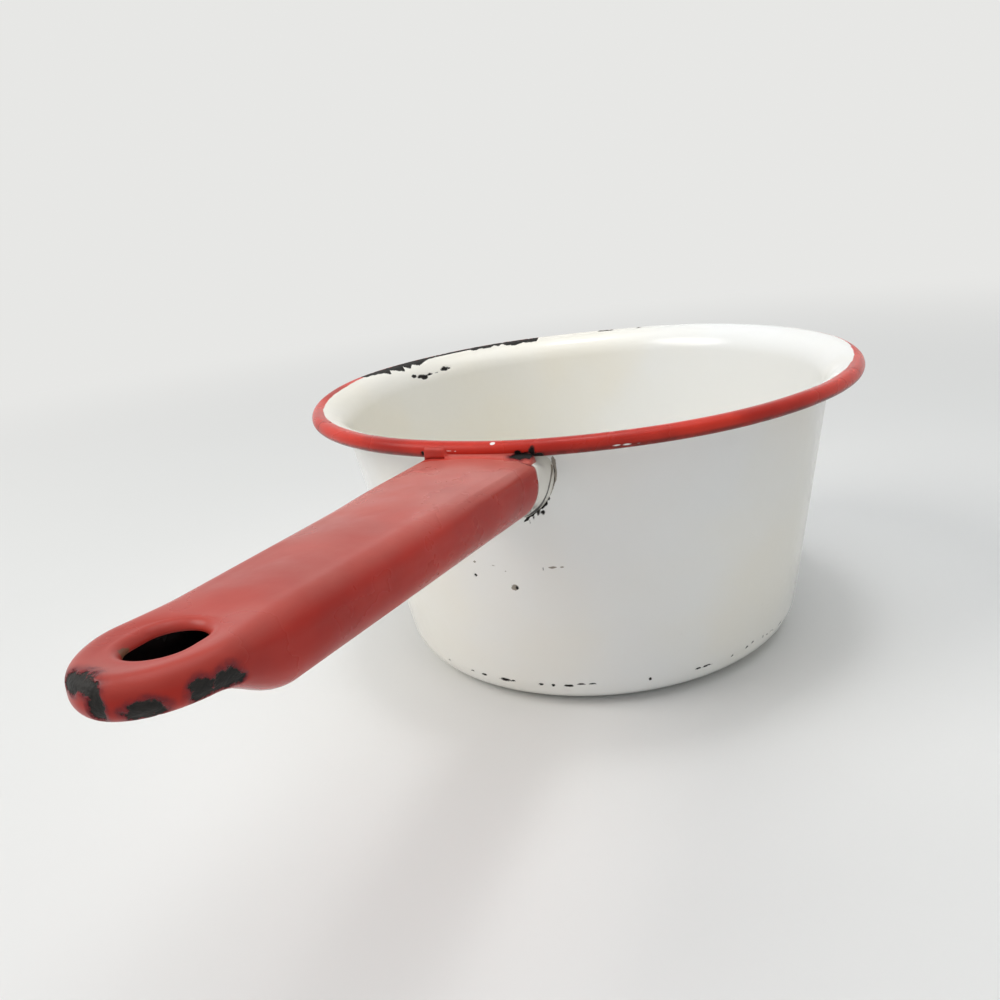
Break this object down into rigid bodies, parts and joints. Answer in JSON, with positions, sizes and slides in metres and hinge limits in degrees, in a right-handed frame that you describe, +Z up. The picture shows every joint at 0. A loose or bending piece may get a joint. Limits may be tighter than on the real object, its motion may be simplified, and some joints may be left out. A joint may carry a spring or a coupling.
{
  "type": "saucepan",
  "caption": "Round tapered enamelled steel saucepan with a flared rolled rim and a hollow pressed side handle that ends in a thin nose with a hanging hole.",
  "frame": {"origin": "centre of the flat base's underside, where the pan stands on a surface", "axes": "+Z up along the bowl's axis, +X along the handle away from the bowl"},
  "size_m": [0.3104, 0.182, 0.0946],
  "materials": {
    "white_enamel": "glossy vitreous enamel, chipped to black iron at the base edge and rim",
    "red_enamel": "glossy vitreous enamel worn to satin, chipped at the nose"
  },
  "bodies": {
    "root": {"pan_body": "white_enamel", "handle_collar": "white_enamel", "handle_shell": "red_enamel", "rim_weld": "red_enamel"}
  },
  "joints": []
}
